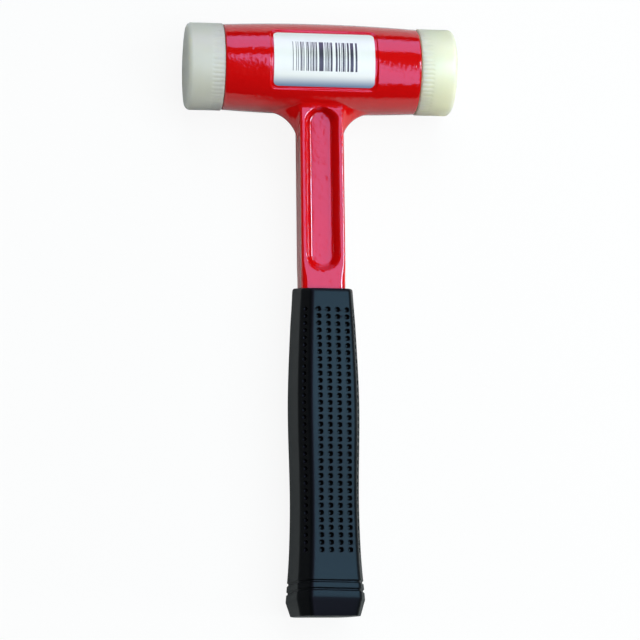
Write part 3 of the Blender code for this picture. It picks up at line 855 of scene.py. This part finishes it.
def grip_grid(sizes, casting):
    """Sleeve from the foot of the tang's pocket, up its walls, over the mouth, and down the outside to the
    butt. The outside is the eight-sided section scaled along the handle, with dimples pressed in along the
    sides' directions, two grooves and a tapered skirt."""
    place, inset = grip_stations(sizes)
    section_at = np.minimum(place, sizes.flare)
    half_width = spline(GRIP_PLACES, GRIP_HALF_WIDTHS, section_at) - inset
    half_depth = spline(GRIP_PLACES, GRIP_HALF_DEPTHS, section_at) - inset
    points, normals, along, side = grip_outline(half_width, half_depth, sizes)
    down = np.broadcast_to(column(place), along.shape)
    points = points - normals * pressed_depth(along, down, side, sizes)[..., None]
    cosine = math.cos(sizes.turn)
    sine = math.sin(sizes.turn)
    across, depth = np.moveaxis(points @ np.array([[cosine, -sine], [sine, cosine]]), 2, 0)
    aside = sizes.mouth_shift * (sizes.end - down) / (sizes.end - sizes.top)
    outer = np.stack([across + aside, -slanted(depth, down, sizes), depth], axis=-1)
    angles = np.arctan2(depth[0], across[0])
    gap = sizes.wall_gap
    # Shares of the way down the pocket, from just past the tang's end up to the mouth
    rings = ((1.004, 0), (0.5, gap), (0.004, gap), (0, gap + POCKET_LIP))
    inner = [pocket_ring(angles, share, clearance, sizes, casting) for share, clearance in rings]
    return np.concatenate([[inner[0] * (0, 1, 0)], inner, outer, [outer[-1] * (0, 1, 0)]])


def face_profile(sizes, casting):
    """Half section of a nylon face as (along, radius) points: threaded stub, plain neck under the sealing
    ring, shoulder, ribbed band and a striking end with a rounded edge."""
    seat = BARREL_HALF - casting.seat_depth
    shoulder = BARREL_HALF + sizes.gap
    crest = casting.socket_radius - sizes.stub_clearance
    chamfer = sizes.stub_chamfer
    band_start = shoulder + 2 * sizes.lip
    thread_points, lip_points, band_points, rim_points = FACE_POINTS
    stub = [(sizes.stub_end, 0), (sizes.stub_end, crest - chamfer)]
    thread = level(np.linspace(sizes.stub_end + chamfer, seat, thread_points), crest)
    neck = [(seat + chamfer / 2, sizes.stub_radius), (shoulder, sizes.stub_radius)]
    lip = arc((shoulder + sizes.lip, sizes.radius - sizes.lip), sizes.lip, 180, 90, lip_points)
    band = level(np.linspace(band_start, band_start + sizes.rib_band, band_points), sizes.radius)
    rim = arc((FACE_PLANE - sizes.edge, sizes.radius - sizes.edge), sizes.edge, 90, 0, rim_points)
    inner_ring = sizes.radius * 0.6
    struck = [(FACE_PLANE, inner_ring), (FACE_PLANE, 0)]
    return np.vstack([stub, thread, neck, lip, band, rim, struck])


def face_grid(side, sizes, casting):
    """Nylon face turned about the head's axis, with a helix of triangular section raised on the stub. The
    ribs are left between narrow grooves in the band."""
    seat = BARREL_HALF - casting.seat_depth
    band_end = BARREL_HALF + sizes.gap + sizes.rib_band
    chamfer = sizes.stub_chamfer
    along, radius = face_profile(sizes, casting).T[..., None]
    angles = full_turn(sizes.ribs * RIB_POINTS)
    groove = (0.5 + 0.5 * np.cos(sizes.ribs * angles)) ** 2
    ribbed = smoothstep(band_end, band_end - RIB_RUN_OUT, along) * (radius > sizes.radius - 2 * sizes.lip)
    threaded = smoothstep(sizes.stub_end + chamfer / 2, sizes.stub_end + 3 * chamfer, along)
    threaded = threaded * smoothstep(seat, seat - chamfer, along)
    raised = casting.thread_depth * triangle_wave(thread_turns(side * along, angles)) * threaded
    return turned(side * along, radius - sizes.rib_depth * groove * ribbed + raised, angles)


def seal_grid(side, sizes, casting):
    """Ring of round section: a small circle carried round the head's axis."""
    middle = (BARREL_HALF - casting.seat_depth / 2, (sizes.stub_radius + casting.seat_radius) / 2)
    section_points, steps = SEAL_POINTS
    profile = arc(middle, sizes.seal_thickness / 2, 0, 360, section_points + 1)[:-1]
    along, radius = profile.T[..., None]
    return turned(side * along, radius, full_turn(steps))


def label_grid(sizes, casting):
    """Paper bent round the pocket's floor: rounded outlines one inside another, front and back, with the
    height of the outline laid along the arc. Also gives each point's place on the flat paper, from 0 to 1."""
    outline, _ = rounded_outline(sizes.length / 2, sizes.height / 2, sizes.corner, *LABEL_POINTS)
    outward_shares = np.linspace(0, 1, LABEL_ROWS)
    shares = np.concatenate([outward_shares, outward_shares[::-1]])
    back = casting.pocket_floor_radius + sizes.glue
    radius = column(np.repeat([back + sizes.thickness, back], LABEL_ROWS))
    flat = outline * shares[:, None, None]
    angles = flat[..., 1] / radius
    points = np.stack([flat[..., 0], radius * np.sin(angles), radius * np.cos(angles)], axis=-1)
    return points, grid_points(flat / (sizes.length, sizes.height) + 0.5, False)


def new_material(name):
    """Material with its node tree and its shader."""
    material = bpy.data.materials.new(name)
    material.use_nodes = True
    return material, material.node_tree, material.node_tree.nodes["Principled BSDF"]


def set_inputs(tree, node, inputs):
    """Gives inputs of a node their values, or links them to sockets of other nodes."""
    for key, value in inputs.items():
        if isinstance(value, bpy.types.NodeSocket):
            tree.links.new(value, node.inputs[key])
        else:
            node.inputs[key].default_value = value


def add_node(tree, kind, settings=None, inputs=None):
    """Adds a node. Settings are its properties; inputs are values, or sockets of other nodes to link."""
    node = tree.nodes.new(kind)
    for key, value in (settings or {}).items():
        setattr(node, key, value)
    set_inputs(tree, node, inputs or {})
    return node


def pattern_scale(millimetres):
    """Texture scale for features of this size."""
    return 1000 / millimetres


def toned(shade, factor):
    """A colour made darker or paler."""
    return (*(channel * factor for channel in shade[:3]), 1.0)


def mottled(tree, place, first, second, millimetres, detail):
    """Colour that drifts between two shades in clouds of this size."""
    pattern = {"Vector": place, "Scale": pattern_scale(millimetres), "Detail": detail}
    cloud = add_node(tree, "ShaderNodeTexNoise", None, pattern)
    shades = {"Factor": cloud.outputs["Fac"], "A": tuple(first), "B": tuple(second)}
    return add_node(tree, "ShaderNodeMix", {"data_type": "RGBA"}, shades).outputs["Result"]


def uneven(tree, place, millimetres, detail, strength, depth, under=None):
    """Surface direction over bumps of this size and of a depth in metres, on top of other bumps."""
    pattern = {"Vector": place, "Scale": pattern_scale(millimetres), "Detail": detail}
    bumps = add_node(tree, "ShaderNodeTexNoise", None, pattern)
    relief = {"Height": bumps.outputs["Fac"], "Strength": strength, "Distance": depth}
    if under:
        relief["Normal"] = under
    return add_node(tree, "ShaderNodeBump", None, relief).outputs["Normal"]


def patchy(tree, place, millimetres, detail, low, high):
    """Roughness between two values in patches of this size."""
    pattern = {"Vector": place, "Scale": pattern_scale(millimetres), "Detail": detail}
    patches = add_node(tree, "ShaderNodeTexNoise", None, pattern)
    spread = {"Value": patches.outputs["Fac"], "To Min": low, "To Max": high}
    return add_node(tree, "ShaderNodeMapRange", None, spread).outputs["Result"]


def gloss_enamel(colours):
    """Gloss enamel sprayed on a rough casting: it flows out to a hard shine, with the casting's slow waves
    and a fine orange peel left in it, and lies a little darker where it has run thick."""
    material, tree, shader = new_material("red_gloss_enamel")
    place = add_node(tree, "ShaderNodeTexCoord").outputs["Object"]
    red = mottled(tree, place, toned(colours.paint, 0.8), colours.paint, millimetres=30, detail=3)
    waved = uneven(tree, place, millimetres=9, detail=1, strength=0.2, depth=0.0006)
    peeled = uneven(tree, place, millimetres=2.1, detail=2, strength=0.6, depth=0.0002, under=waved)
    set_inputs(tree, shader, {"Base Color": red, "Normal": peeled, "Roughness": 0.06, "IOR": 1.52})
    return material


def natural_nylon(name, shade):
    """Cast nylon turned on a lathe: milky, a little translucent, with faint tool rings round the axis. The
    rings are drawn coarser than a lathe leaves them, so that they show."""
    material, tree, shader = new_material(name)
    place = add_node(tree, "ShaderNodeTexCoord").outputs["Object"]
    milk = mottled(tree, place, toned(shade, 0.9), shade, millimetres=12, detail=2)
    rings = add_node(
        tree,
        "ShaderNodeTexWave",
        {"wave_type": "BANDS", "bands_direction": "X"},
        {"Vector": place, "Scale": pattern_scale(RING_MILLIMETRES) * WAVE_REPEAT, "Distortion": 0.6},
    )
    relief = {"Height": rings.outputs["Fac"], "Strength": 0.06, "Distance": 0.0001}
    tooled = add_node(tree, "ShaderNodeBump", None, relief).outputs["Normal"]
    set_inputs(tree, shader, {"Base Color": milk, "Normal": tooled, "Roughness": 0.42, "IOR": 1.53})
    depth = {"Subsurface Weight": 0.9, "Subsurface Radius": (1.0, 0.95, 0.8), "Subsurface Scale": 0.013}
    set_inputs(tree, shader, depth)
    return material


def soft_vinyl(colours):
    """Black plasticised vinyl from a spark-eroded mould: a fine even grain that spreads the light to a soft
    grey sheen. The grain is drawn coarser than the mould's, so that it shows."""
    material, tree, shader = new_material("black_soft_vinyl")
    place = add_node(tree, "ShaderNodeTexCoord").outputs["Object"]
    black = mottled(tree, place, colours.vinyl, toned(colours.vinyl, 1.3), millimetres=20, detail=2)
    grained = uneven(tree, place, millimetres=0.6, detail=3, strength=0.12, depth=0.0001)
    set_inputs(tree, shader, {"Base Color": black, "Normal": grained, "Roughness": 0.42})
    set_inputs(tree, shader, {"IOR": 1.53, "Specular IOR Level": 0.08})
    return material


def bar_print(tree, split, bar):
    """1 on the bars and 0 off them: cells as wide as the narrowest bar are dark by chance, in a window that
    is given by its middle and half size on the flat paper."""
    cell = add_node(tree, "ShaderNodeMath", {"operation": "SNAP"}, {0: split.outputs["X"], 1: bar})
    number_of_cell = {"W": cell.outputs["Value"]}
    chance = add_node(tree, "ShaderNodeTexWhiteNoise", {"noise_dimensions": "1D"}, number_of_cell)
    dark = {0: chance.outputs["Value"], 1: DARK_SHARE}
    printed = add_node(tree, "ShaderNodeMath", {"operation": "LESS_THAN"}, dark).outputs["Value"]
    for axis, middle, half in (("X", 0.505, 0.325), ("Y", 0.53, 0.26)):
        window = {0: split.outputs[axis], 1: middle, 2: half}
        within = add_node(tree, "ShaderNodeMath", {"operation": "COMPARE"}, window).outputs["Value"]
        both = {0: printed, 1: within}
        printed = add_node(tree, "ShaderNodeMath", {"operation": "MULTIPLY"}, both).outputs["Value"]
    return printed


def printed_paper(colours, sizes):
    """Coated label paper with generic bars that stand for no number, and a painted bluish shade at its lower
    edge.
    """
    material, tree, shader = new_material("coated_label_paper")
    flat = add_node(tree, "ShaderNodeUVMap", {"uv_map": "flat"}).outputs["UV"]
    split = add_node(tree, "ShaderNodeSeparateXYZ", None, {"Vector": flat})
    printed = bar_print(tree, split, sizes.bar / sizes.length)
    # Painted shade: bluish, fading in towards the label's lower edge
    fade = {"Value": split.outputs["Y"], "From Min": 0.22, "From Max": -0.02}
    lower_shade = add_node(tree, "ShaderNodeMapRange", {"interpolation_type": "SMOOTHSTEP"}, fade)
    shades = {"Factor": lower_shade.outputs["Result"], "A": tuple(colours.label), "B": tuple(colours.band)}
    paper = add_node(tree, "ShaderNodeMix", {"data_type": "RGBA"}, shades).outputs["Result"]
    shades = {"Factor": printed, "A": paper, "B": tuple(colours.ink)}
    inked = add_node(tree, "ShaderNodeMix", {"data_type": "RGBA"}, shades).outputs["Result"]
    place = add_node(tree, "ShaderNodeTexCoord").outputs["Object"]
    fibrous = uneven(tree, place, millimetres=4, detail=2, strength=0.1, depth=0.0002)
    set_inputs(tree, shader, {"Base Color": inked, "Normal": fibrous, "Roughness": 0.3})
    return material


def nitrile_rubber(colours):
    """Moulded nitrile: dull black with a fine bloom."""
    material, tree, shader = new_material("black_nitrile")
    place = add_node(tree, "ShaderNodeTexCoord").outputs["Object"]
    bloom = patchy(tree, place, millimetres=1, detail=2, low=0.5, high=0.75)
    set_inputs(tree, shader, {"Base Color": colours.nitrile, "Roughness": bloom})
    return material


def bright_steel(colours):
    """Bright drawn steel, rubbed dull in patches by the shot."""
    material, tree, shader = new_material("bright_steel")
    place = add_node(tree, "ShaderNodeTexCoord").outputs["Object"]
    scuffed = patchy(tree, place, millimetres=1.5, detail=4, low=0.22, high=0.5)
    set_inputs(tree, shader, {"Base Color": colours.steel, "Roughness": scuffed, "Metallic": 1.0})
    return material


def stage_paper(colours):
    """Pale background paper. To the camera and through clear things most of its light is its own, so that it
    looks white. In reflections it is white paper in the lamps' light. Both keep the hammer's shadow. Other
    light finds it dark, so that it throws little back on the hammer."""
    material, tree, shader = new_material("pale_background_paper")
    path = add_node(tree, "ShaderNodeLightPath").outputs
    rays = {0: path["Is Camera Ray"], 1: path["Is Transmission Ray"]}
    direct = add_node(tree, "ShaderNodeMath", {"operation": "MAXIMUM"}, rays).outputs["Value"]
    own = add_node(tree, "ShaderNodeMath", {"operation": "MULTIPLY"}, {0: direct, 1: PAPER_GLOW})
    rays = {0: direct, 1: path["Is Glossy Ray"]}
    seen = add_node(tree, "ShaderNodeMath", {"operation": "MAXIMUM"}, rays).outputs["Value"]
    glow = add_node(tree, "ShaderNodeEmission", None, {"Color": WHITE, "Strength": 1.0})
    shades = {"Factor": seen, "A": tuple(colours.floor), "B": tuple(colours.paper)}
    lit = add_node(tree, "ShaderNodeMix", {"data_type": "RGBA"}, shades).outputs["Result"]
    set_inputs(tree, shader, {"Base Color": lit, "Roughness": 0.9})
    shaders = {0: own.outputs["Value"], 1: shader.outputs["BSDF"], 2: glow.outputs["Emission"]}
    mixed = add_node(tree, "ShaderNodeMixShader", None, shaders)
    set_inputs(tree, tree.nodes["Material Output"], {"Surface": mixed.outputs["Shader"]})
    return material


def in_frame(place):
    """A place in the hammer's axes as a place in the frame."""
    return Vector((np.array(place) @ AXES + HEAD).tolist())


def add_lamp(name, angles, distance, size, power, shade, lean, matt):
    """Rectangular lamp that faces the middle of the hammer, from angles in degrees towards the right face and
    the top of the head, counted from straight in front. Its top leans to the left by an angle in degrees. A
    matt one, a fill, lights matt surfaces only; any other, a card, is only seen in glossy ones."""
    aside, above = np.radians(angles)
    lean = math.radians(lean)
    away = np.array([math.sin(aside) * math.cos(above), math.sin(above), math.cos(aside) * math.cos(above)])
    across = np.cross((0, 1, 0), away)
    across /= np.linalg.norm(across)
    upright = np.cross(away, across)
    right = across * math.cos(lean) + upright * math.sin(lean)
    up = upright * math.cos(lean) - across * math.sin(lean)
    lamp = bpy.data.lights.new(name, "AREA")
    lamp.shape = "RECTANGLE"
    lamp.size, lamp.size_y = size
    lamp.energy = power
    lamp.color = shade
    box = bpy.data.objects.new(name, lamp)
    bpy.context.scene.collection.objects.link(box)
    turn = Matrix((np.array([right, up, away]) @ AXES).tolist()).transposed()
    box.matrix_world = Matrix.Translation(in_frame(LAMP_TARGET + away * distance)) @ turn.to_4x4()
    box.visible_diffuse = matt
    box.visible_glossy = not matt


def add_floor(paper):
    """Flat sheet of background paper just under the hammer."""
    mesh = bpy.data.meshes.new("floor")
    corners = [(-1, -1, 0), (1, -1, 0), (1, 1, 0), (-1, 1, 0)]
    mesh.from_pydata((np.array(corners) * FLOOR_HALF).tolist(), [], [(0, 1, 2, 3)])
    mesh.materials.append(paper)
    floor = bpy.data.objects.new("floor", mesh)
    floor.location.z = CAD_BOX[0][2] - FLOOR_GAP
    bpy.context.scene.collection.objects.link(floor)


def add_world():
    """Faint even light from all round."""
    world = bpy.data.worlds.new("studio")
    world.use_nodes = True
    background = world.node_tree.nodes["Background"]
    set_inputs(world.node_tree, background, {"Color": WHITE, "Strength": WORLD_STRENGTH})
    bpy.context.scene.world = world


def add_camera():
    """Camera at the photograph's angle: towards the butt and the left face, with a slight lean."""
    pitch = math.radians(9.3)
    yaw = math.radians(8.4)
    lean = math.radians(0.7)
    distance = 1.146
    focal_pixels = 2240
    frame_pixels = 640
    target = in_frame((-0.0009, -0.1322, 0))
    away = (-math.sin(yaw) * math.cos(pitch), -math.sin(pitch), math.cos(yaw) * math.cos(pitch))
    back = Vector((np.array(away) @ AXES).tolist())
    handle = Vector(AXES[1].tolist())
    across = handle.cross(back).normalized()
    upright = back.cross(across).normalized()
    up = upright * math.cos(lean) + across * math.sin(lean)
    right = up.cross(back).normalized()
    lens = bpy.data.cameras.new("camera")
    lens.sensor_width = 36.0
    lens.lens = focal_pixels / frame_pixels * lens.sensor_width
    camera = bpy.data.objects.new("camera", lens)
    bpy.context.scene.collection.objects.link(camera)
    turn = Matrix((right, up, back)).transposed().to_4x4()
    camera.matrix_world = Matrix.Translation(target + back * distance) @ turn
    bpy.context.scene.camera = camera


class HAMMER_OT_casting(bpy.types.Operator):
    """Build the painted head and shaft"""

    bl_idname = "hammer.casting"
    bl_label = "Casting"

    def execute(self, context):
        sizes = context.scene.hammer_casting
        grids = [barrel_grid(sizes), shaft_grid(sizes, context.scene.hammer_grip)]
        paint = gloss_enamel(context.scene.hammer_colours)
        looped = (True, False)
        add_surface("painted_casting", grids, paint, "hammer_body", "head_casting", looped)
        return {"FINISHED"}


class HAMMER_OT_grip(bpy.types.Operator):
    """Build the dimpled sleeve grip"""

    bl_idname = "hammer.grip"
    bl_label = "Grip"

    def execute(self, context):
        grid = grip_grid(context.scene.hammer_grip, context.scene.hammer_casting)
        vinyl = soft_vinyl(context.scene.hammer_colours)
        add_surface("dimpled_grip", [grid], vinyl, "hammer_body", "grip_sleeve")
        return {"FINISHED"}


class HAMMER_OT_faces(bpy.types.Operator):
    """Build the two nylon faces"""

    bl_idname = "hammer.faces"
    bl_label = "Nylon Faces"

    def execute(self, context):
        sizes = context.scene.hammer_face
        colours = context.scene.hammer_colours
        # Painted light: the right face gets a paler, yellower copy of the same nylon's colour
        shades = {"left": colours.left_nylon, "right": colours.right_nylon_painted_lit}
        for name, side in SIDES.items():
            grid = face_grid(side, sizes, context.scene.hammer_casting)
            nylon = natural_nylon(f"natural_nylon_{name}", shades[name])
            add_surface(f"{name}_nylon_face", [grid], nylon, f"{name}_face", f"{name}_face")
        return {"FINISHED"}


class HAMMER_OT_seals(bpy.types.Operator):
    """Build the sealing rings under the faces"""

    bl_idname = "hammer.seals"
    bl_label = "Sealing Rings"

    def execute(self, context):
        rubber = nitrile_rubber(context.scene.hammer_colours)
        for name, side in SIDES.items():
            grid = seal_grid(side, context.scene.hammer_face, context.scene.hammer_casting)
            ring = f"{name}_sealing_ring"
            add_surface(ring, [grid], rubber, f"{name}_seal", f"{name}_face_seal", (True,))
        return {"FINISHED"}


class HAMMER_OT_label(bpy.types.Operator):
    """Build the label in the barrel's pocket"""

    bl_idname = "hammer.label"
    bl_label = "Label"

    def execute(self, context):
        sizes = context.scene.hammer_label
        grid, flat = label_grid(sizes, context.scene.hammer_casting)
        paper = printed_paper(context.scene.hammer_colours, sizes)
        add_surface("barrel_label", [grid], paper, "hammer_body", flat=flat)
        return {"FINISHED"}


class HAMMER_OT_inner_parts(bpy.types.Operator):
    """Finish the shot and the core plugs, whose solids stay as they are"""

    bl_idname = "hammer.inner_parts"
    bl_label = "Shot and Core Plugs"

    def execute(self, context):
        steel = bright_steel(context.scene.hammer_colours)
        for name, node in frame["nodes"].items():
            if name.startswith("shot_ball") or name.endswith("core_plug"):
                node.data.materials.clear()
                node.data.materials.append(steel)
        return {"FINISHED"}


class HAMMER_OT_stage(bpy.types.Operator):
    """Add the floor, the lamps and the camera"""

    bl_idname = "hammer.stage"
    bl_label = "Stage"

    def execute(self, context):
        add_floor(stage_paper(context.scene.hammer_colours))
        for fill in FILLS:
            add_lamp(*fill, matt=True)
        for card in CARDS:
            add_lamp(*card, matt=False)
        add_world()
        context.scene.view_settings.view_transform = "Standard"
        add_camera()
        return {"FINISHED"}


class HAMMER_PT_panel(bpy.types.Panel):
    """Lists the hammer's pieces"""

    bl_idname = "HAMMER_PT_panel"
    bl_label = "Dead Blow Hammer"
    bl_space_type = "VIEW_3D"
    bl_region_type = "UI"
    bl_category = "Hammer"

    def draw(self, context):
        for operator in OPERATORS:
            self.layout.operator(operator.bl_idname)


GROUPS = {
    "hammer_casting": HammerCastingSizes,
    "hammer_face": HammerFaceSizes,
    "hammer_grip": HammerGripSizes,
    "hammer_label": HammerLabelSizes,
    "hammer_colours": HammerColours,
}
OPERATORS = (
    HAMMER_OT_casting,
    HAMMER_OT_grip,
    HAMMER_OT_faces,
    HAMMER_OT_seals,
    HAMMER_OT_label,
    HAMMER_OT_inner_parts,
    HAMMER_OT_stage,
)


def register():
    """Adds the classes, and the sizes and colours to every scene."""
    for group in GROUPS.values():
        bpy.utils.register_class(group)
    for kind in (*OPERATORS, HAMMER_PT_panel):
        bpy.utils.register_class(kind)
    for name, group in GROUPS.items():
        setattr(bpy.types.Scene, name, bpy.props.PointerProperty(type=group))


def unregister():
    """Takes away what register added."""
    for name in GROUPS:
        delattr(bpy.types.Scene, name)
    for kind in (HAMMER_PT_panel, *reversed(OPERATORS)):
        bpy.utils.unregister_class(kind)
    for group in reversed(GROUPS.values()):
        bpy.utils.unregister_class(group)


def main():
    """Builds every piece and the stage."""
    register()
    bpy.ops.hammer.casting()
    bpy.ops.hammer.grip()
    bpy.ops.hammer.faces()
    bpy.ops.hammer.seals()
    bpy.ops.hammer.label()
    bpy.ops.hammer.inner_parts()
    bpy.ops.hammer.stage()


if __name__ == "__main__":
    main()
